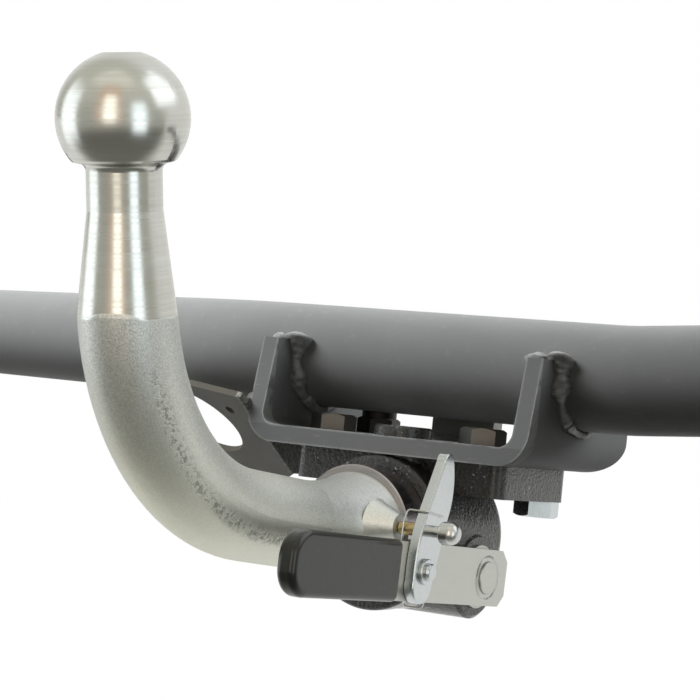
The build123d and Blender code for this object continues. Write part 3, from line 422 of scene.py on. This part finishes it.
def olive_sheet():
    """Thin sheet in a dull olive coat; its tab is lighter and speckled."""
    s = Finish("olive sheet")
    x, _, _ = s.axis()
    tab = x.above(TAB_START, 0.0002)
    speckle = s.noise(0.0016, 3.0, 0.7).above(0.5, 0.1)
    cloud = s.noise(0.012, 3.0)
    leaf_colour = s.mix(cloud, (0.065, 0.062, 0.050), (0.095, 0.092, 0.075))
    tab_colour = s.mix(speckle, (0.10, 0.098, 0.085), (0.30, 0.295, 0.27))
    s.set(Base_Color=s.mix(tab, leaf_colour, tab_colour))
    s.set(Roughness=0.5 + cloud * 0.15, Specular_IOR_Level=0.5)
    s.bump(speckle * 0.5 + cloud, 0.00012)
    return s.material


def grip_plastic():
    """Semi-gloss black, moulded, with a fine leathery skin and a film of dust."""
    s = Finish("black grip")
    skin = s.noise(0.0009, 3.0, 0.6)
    film = s.noise(0.02, 4.0, 0.6)
    dust = s.noise(0.004, 5.0, 0.7).above(0.64, 0.08)
    colour = s.mix(film, (0.014, 0.014, 0.012), (0.026, 0.026, 0.022))
    s.set(Base_Color=s.mix(dust * 0.3, colour, (0.07, 0.07, 0.062)))
    s.set(Roughness=0.34 + skin * 0.12, Specular_IOR_Level=0.2)
    s.set(Coat_Weight=0.6, Coat_Roughness=0.10)
    s.bump(skin, 0.00005)
    return s.material


def plain_rubber():
    """Dull black rubber."""
    s = Finish("plug rubber")
    skin = s.noise(0.0015, 3.0)
    s.set(Base_Color=s.mix(skin, (0.012, 0.012, 0.012), (0.024, 0.024, 0.023)))
    s.set(Roughness=0.55 + skin * 0.2)
    s.bump(skin, 0.0001)
    return s.material


def bronze():
    """Sintered bronze of the bearing bushes."""
    s = Finish("bush bronze")
    lines = s.noise(0.001, 3.0)
    s.set(Base_Color=s.mix(lines, (0.36, 0.24, 0.10), (0.50, 0.36, 0.17)))
    s.set(Metallic=1.0, Roughness=0.28 + lines * 0.15)
    return s.material


coat = powder_coat("grey powder coat", (0.197, 0.203, 0.203), (0.241, 0.247, 0.246))
bracket_coat = powder_coat("bracket coat", (0.166, 0.171, 0.171), (0.212, 0.218, 0.217), worn_and_highlit=True)
# painted light: the stay's coat is a paler copy of the grey coat, painted lighter as if lit
painted_light_stay_coat = powder_coat("stay coat painted lighter", (0.31, 0.31, 0.29), (0.37, 0.37, 0.34))
bead_coat = weld_coat()
steel = neck_steel()
casting = black_casting()
pale_zinc = lever_zinc()
blue_zinc = zinc("bright zinc", (0.50, 0.53, 0.54), (0.66, 0.69, 0.70), 0.20, (1.0, 1.0, 0.2))
bright = zinc("bright steel", (0.50, 0.50, 0.49), (0.66, 0.66, 0.65), 0.20)
dark_bolt = zinc("dark bolt steel", (0.075, 0.072, 0.067), (0.14, 0.133, 0.123), 0.30)
# painted shade: the rear nuts are painted near black for the shade they sit in
shaded_nut_steel = zinc("nut steel painted dark as shade", (0.028, 0.027, 0.025), (0.055, 0.052, 0.048), 0.40)
yellow = zinc("yellow passivated", (0.40, 0.30, 0.14), (0.58, 0.47, 0.26), 0.24)

finishes = {
    "swan_neck": steel,
    "index_dowels": bright,
    "housing": casting,
    "housing_bush": bright,
    "end_plug": plain_rubber(),
    "shaft_bushes": bronze(),
    "bracket": bracket_coat,
    "bracket_welds": bead_coat,
    "tube_stay": painted_light_stay_coat,
    "stay_welds": bead_coat,
    "cross_tube": coat,
    "left_chassis_plate": coat,
    "right_chassis_plate": coat,
    "tube_end_welds": bead_coat,
    "front_bolts": dark_bolt,
    "rear_bolts": blue_zinc,
    "rear_nuts": shaded_nut_steel,
    "socket_plate": olive_sheet(),
    "socket_plate_weld": bead_coat,
    "lock_shaft": pale_zinc,
    "shaft_washer": pale_zinc,
    "shaft_tail_washer": pale_zinc,
    "shaft_circlip": dark_bolt,
    "lever_plate": pale_zinc,
    "lever_grip": grip_plastic(),
    "catch_rivet": blue_zinc,
    "safety_catch": blue_zinc,
    "catch_pin": yellow,
    "catch_knob": bright,
    "catch_spring": bright,
}
for name, material in finishes.items():
    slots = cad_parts[name].data.materials
    slots.clear()
    slots.append(material)

# Weld beads: half their width, the length of a ripple, how far their middle stands off both
# walls, how far they run past the ear's top, and the steps round and along them
BEAD_R = 0.0018
BEAD_RIPPLE = 0.0028
BEAD_INSET = 0.0012
BEAD_RISE = 0.0028
BEAD_SIDES = 14
BEAD_STEPS = 120

# Blobs that the welder left, as run from the bead's start, reach along it and extra size
BEAD_HEAPS = {
    ("left", "outer"): ((0.004, 0.004, 1.5),),
    ("left", "inner"): ((0.004, 0.0045, 2.7), (0.0225, 0.0055, 1.9), (0.037, 0.006, 0.5)),
    ("right", "inner"): ((0.004, 0.004, 2.0),),
    ("right", "outer"): ((0.004, 0.0042, 3.6), (0.0145, 0.0040, 3.3), (0.033, 0.006, 0.6)),
}


def bead(name, path, seed, heaps):
    """A lumpy weld bead along a path of points; heaps: (run, reach, extra size) of its blobs."""
    count = len(path)
    length = sum((b - a).length for a, b in zip(path, path[1:]))
    mesh = bmesh.new()
    rings = []
    run = 0.0
    for index, point in enumerate(path):
        before = path[max(index - 1, 0)]
        after = path[min(index + 1, count - 1)]
        way = (after - before).normalized()
        if index:
            run += (point - path[index - 1]).length
        side = way.orthogonal().normalized()
        up = way.cross(side)
        end = min(run, length - run)
        taper = math.sqrt(max(0.0, 1 - (1 - min(end / BEAD_R, 1.0)) ** 2))
        swell = 1 + sum(extra * math.exp(-(((run - at) / wide) ** 2)) for at, wide, extra in heaps)
        scale = 1 + 0.07 * math.cos(2 * math.pi * run / BEAD_RIPPLE + 0.6 * noise.noise(point * 300))
        ring = []
        for step in range(BEAD_SIDES):
            angle = 2 * math.pi * step / BEAD_SIDES
            out = side * math.cos(angle) + up * math.sin(angle)
            lump = noise.noise((point + out * BEAD_R) * 170 + Vector((seed, 0, 0)))
            fine = noise.noise((point + out * BEAD_R) * 600 + Vector((0, seed, 0)))
            reach = BEAD_R * (0.08 + 0.92 * taper) * swell * scale * (1 + 0.5 * lump + 0.2 * fine)
            ring.append(mesh.verts.new(point + out * reach))
        rings.append(ring)
    for low, high in zip(rings, rings[1:]):
        for step in range(BEAD_SIDES):
            after = (step + 1) % BEAD_SIDES
            mesh.faces.new((low[step], low[after], high[after], high[step]))
    mesh.faces.new(list(reversed(rings[0])))
    mesh.faces.new(rings[-1])
    for face in mesh.faces:
        face.smooth = True
    mesh.normal_update()
    data = bpy.data.meshes.new(name)
    mesh.to_mesh(data)
    mesh.free()
    data.materials.append(bead_coat)
    piece = bpy.data.objects.new(name, data)
    bpy.context.scene.collection.objects.link(piece)
    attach(piece, "carrier")
    return piece


def ear_beads():
    """Beads on both faces of each ear, round the part of the tube that its notch holds."""
    pieces = []
    top = math.asin((EAR_H - TUBE_Z) / TUBE_R) + BEAD_RISE / TUBE_R
    for side in (-1, 1):
        for wall, way in ((side * EAR_X, side), (side * (EAR_X - EAR_T), -side)):
            path = []
            for step in range(BEAD_STEPS + 1):
                angle = math.pi - top + (math.pi + 2 * top) * step / BEAD_STEPS
                reach = TUBE_R + BEAD_INSET
                wobble = 0.0005 * noise.noise(Vector((step * 0.11, wall * 90, 0)))
                x = wall + way * (BEAD_INSET + wobble)
                y = TUBE_Y + reach * math.cos(angle)
                z = TUBE_Z + reach * math.sin(angle)
                path.append(TOW @ Vector((x, y, z)))
            label = "left" if side < 0 else "right"
            face = "outer" if way == side else "inner"
            name = f"{label}_ear_{face}_bead"
            pieces.append(bead(name, path, 7 * side + way, BEAD_HEAPS[label, face]))
    return pieces


for piece in ear_beads():
    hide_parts("bracket_welds")


def add_camera():
    """The photograph's camera, with its own pitch and roll."""
    level = math.cos(CAMERA_PITCH)
    ahead = Vector((AHEAD.x * level, AHEAD.y * level, -math.sin(CAMERA_PITCH)))
    up = RIGHT.cross(ahead)
    turned_right = RIGHT * math.cos(CAMERA_ROLL) + up * math.sin(CAMERA_ROLL)
    turned_up = up * math.cos(CAMERA_ROLL) - RIGHT * math.sin(CAMERA_ROLL)
    data = bpy.data.cameras.new("camera")
    data.sensor_width = SENSOR_MM
    data.lens = FOCAL_PX / IMAGE_PX * SENSOR_MM
    camera = bpy.data.objects.new("camera", data)
    axes = Matrix((turned_right, turned_up, -ahead)).transposed().to_4x4()
    camera.matrix_world = Matrix.Translation(CAMERA_PLACE) @ axes
    bpy.context.scene.collection.objects.link(camera)
    bpy.context.scene.camera = camera


add_camera()


def soft_box(name, about, turn, lift, reach, size, glow):
    """A square lamp seen from a point at an angle right of the camera and above the level."""
    turn = math.radians(turn)
    lift = math.radians(lift)
    way = (-AHEAD * math.cos(turn) + RIGHT * math.sin(turn)) * math.cos(lift)
    way.z = math.sin(lift)
    data = bpy.data.lights.new(name, "AREA")
    data.size = size
    data.energy = glow * math.pi * size * size
    lamp = bpy.data.objects.new(name, data)
    lamp.location = about + way * reach
    lamp.rotation_euler = (-way).to_track_quat("-Z", "Y").to_euler()
    lamp.visible_camera = False
    lamp.visible_glossy = False
    bpy.context.scene.collection.objects.link(lamp)


# Soft lights for everything dull; the bright metal mirrors the room's own lamps instead
soft_box("key", TUBE_MIDDLE, -90, 54, 0.8, 0.50, 13.5)
soft_box("right fill", STUDIO_CENTRE, 97, 20, 1.5, 0.8, 6.4)
soft_box("back light", STUDIO_CENTRE, 168, 42, 1.6, 1.1, 5.0)

# What bright metal mirrors, as in the photograph. Degrees: left and right edge as turns right
# of the camera, lower and upper edge as lifts, softness of the sides and of the ends; colour.
MIRRORED_LAMPS = (
    (-90, 45, 52, 86, 14, 8, (0.98, 0.97, 0.86)),
    (-120, -81, -20, 32, 5, 14, (1.80, 1.90, 1.95)),
    (-42, 4, -3, 56, 6, 12, (0.80, 0.60, 0.45)),
    (-28, -6, -4, 38, 4, 6, (2.2, 2.1, 1.9)),
    (22, 46, -19, 25, 4, 8, (1.85, 2.02, 2.12)),
    (68, 122, 16, 58, 4, 5, (1.75, 1.80, 1.85)),
)

# The room's glow: behind the object, and near the floor on the camera's side
BACK_GLOW = 0.95
FRONT_GLOW = 0.17


def room_glow(back, front):
    """The front's glow, and the background's where that begins."""
    return front + back * (BACK_GLOW - front)


def front_glow(rise):
    """How bright the camera's side of the room is, by height: dim floor to pale ceiling."""
    return FRONT_GLOW + rise.above(-0.35, 0.4) * 0.36 + rise.above(0.35, 0.3) * 0.20


def mirrored_room(s, way, glow, back):
    """The studio as metal sees it in a direction: dim room, pale background, soft lamps."""
    tone = s.mix(back, (0.95, 0.95, 0.85), (1.0, 1.0, 0.98))
    colour = s.mix(glow, (0.0, 0.0, 0.0), tone)
    toward = s.vector("DOT_PRODUCT", way, tuple(-AHEAD))
    right = s.vector("DOT_PRODUCT", way, tuple(RIGHT))
    rise = s.vector("DOT_PRODUCT", way, (0.0, 0.0, 1.0))
    turn = right.angle(toward)
    lift = rise.angle((1 - rise * rise).root())
    for left_edge, right_edge, low, high, side, end, lamp in MIRRORED_LAMPS:
        share = turn.within(left_edge, right_edge, side) * lift.within(low, high, end)
        colour = s.mix(share, colour, lamp)
    return colour


# How far the floor lies below the object, so that the lever clears it when it hangs down
FLOOR_DROP = 0.14
FLOOR_HALF = 30.0


def add_floor():
    """Pale floor that keeps the object's shadow, and goes on as the room for mirroring metal."""
    low = cad_box[0][2] - FLOOR_DROP
    mesh = bpy.data.meshes.new("floor")
    corners = [(x * FLOOR_HALF, y * FLOOR_HALF, low) for x, y in ((-1, -1), (1, -1), (1, 1), (-1, 1))]
    mesh.from_pydata(corners, [], [(0, 1, 2, 3)])
    floor = bpy.data.objects.new("floor", mesh)
    bpy.context.scene.collection.objects.link(floor)
    s = Finish("pale floor")
    s.set(Base_Color=(0.80, 0.80, 0.78), Roughness=0.9)
    from_centre = s.vector("SUBTRACT", s.place, tuple(STUDIO_CENTRE))
    spread = s.vector("LENGTH", from_centre)
    ahead = s.vector("DOT_PRODUCT", from_centre, tuple(AHEAD))
    right = s.vector("DOT_PRODUCT", from_centre, tuple(RIGHT))
    # the bright background begins a little on the camera's side of the centre
    back = (ahead + right * 0.15).above(-0.10, 0.12)
    glow = room_glow(back, FRONT_GLOW + spread.above(1.5, 0.7) * 0.36)
    path = s.node("ShaderNodeLightPath", {}, {})
    seen = path.out("Is Camera Ray")
    dull = path.out("Is Diffuse Ray")
    mirrored = path.out("Is Glossy Ray").most(path.out("Is Transmission Ray"))
    # white with a faint shadow to the camera, the room to mirroring metal, dark to dull surfaces
    share = seen * (0.93 + spread.above(0.7, 0.4) * 0.07) + mirrored * 0.95 + dull
    way = s.vector("NORMALIZE", s.vector("SUBTRACT", s.place, tuple(BALL)))
    colour = s.mix(seen, mirrored_room(s, way, glow, back), (1.0, 1.0, 1.0))
    lit = s.node("ShaderNodeEmission", {}, {"Color": colour, "Strength": seen + mirrored})
    shaded = Signal(s, s.surface.outputs[0])
    both = s.node("ShaderNodeMixShader", {}, {0: share, 1: shaded, 2: lit.out()})
    end = s.tree.nodes["Material Output"]
    s.tree.links.new(both.node.outputs[0], end.inputs["Surface"])
    mesh.materials.append(s.material)


add_floor()


def add_world():
    """White to the camera, and the studio's glow in every other direction."""
    world = bpy.data.worlds.new("studio")
    bpy.context.scene.world = world
    world.use_nodes = True
    world.node_tree.nodes.clear()
    s = Shader(world.node_tree)
    way = s.node("ShaderNodeTexCoord", {}, {}).out("Generated")
    ahead = s.vector("DOT_PRODUCT", way, tuple(AHEAD))
    right = s.vector("DOT_PRODUCT", way, tuple(RIGHT))
    rise = s.vector("DOT_PRODUCT", way, (0.0, 0.0, 1.0))
    # the bright background lies behind the object and to its right
    back = (ahead + right * 0.6).above(0.45, 0.30)
    glow = room_glow(back, front_glow(rise))
    path = s.node("ShaderNodeLightPath", {}, {})
    strength = 1 - path.out("Is Diffuse Ray") * 0.95
    colour = mirrored_room(s, way, glow, back)
    room = s.node("ShaderNodeBackground", {}, {"Color": colour, "Strength": strength})
    white = s.node("ShaderNodeBackground", {}, {"Color": (1, 1, 1, 1)})
    seen = path.out("Is Camera Ray")
    both = s.node("ShaderNodeMixShader", {}, {0: seen, 1: room.out(), 2: white.out()})
    end = s.node("ShaderNodeOutputWorld", {}, {})
    s.tree.links.new(both.node.outputs[0], end.node.inputs["Surface"])


add_world()
bpy.context.scene.view_settings.view_transform = "Standard"
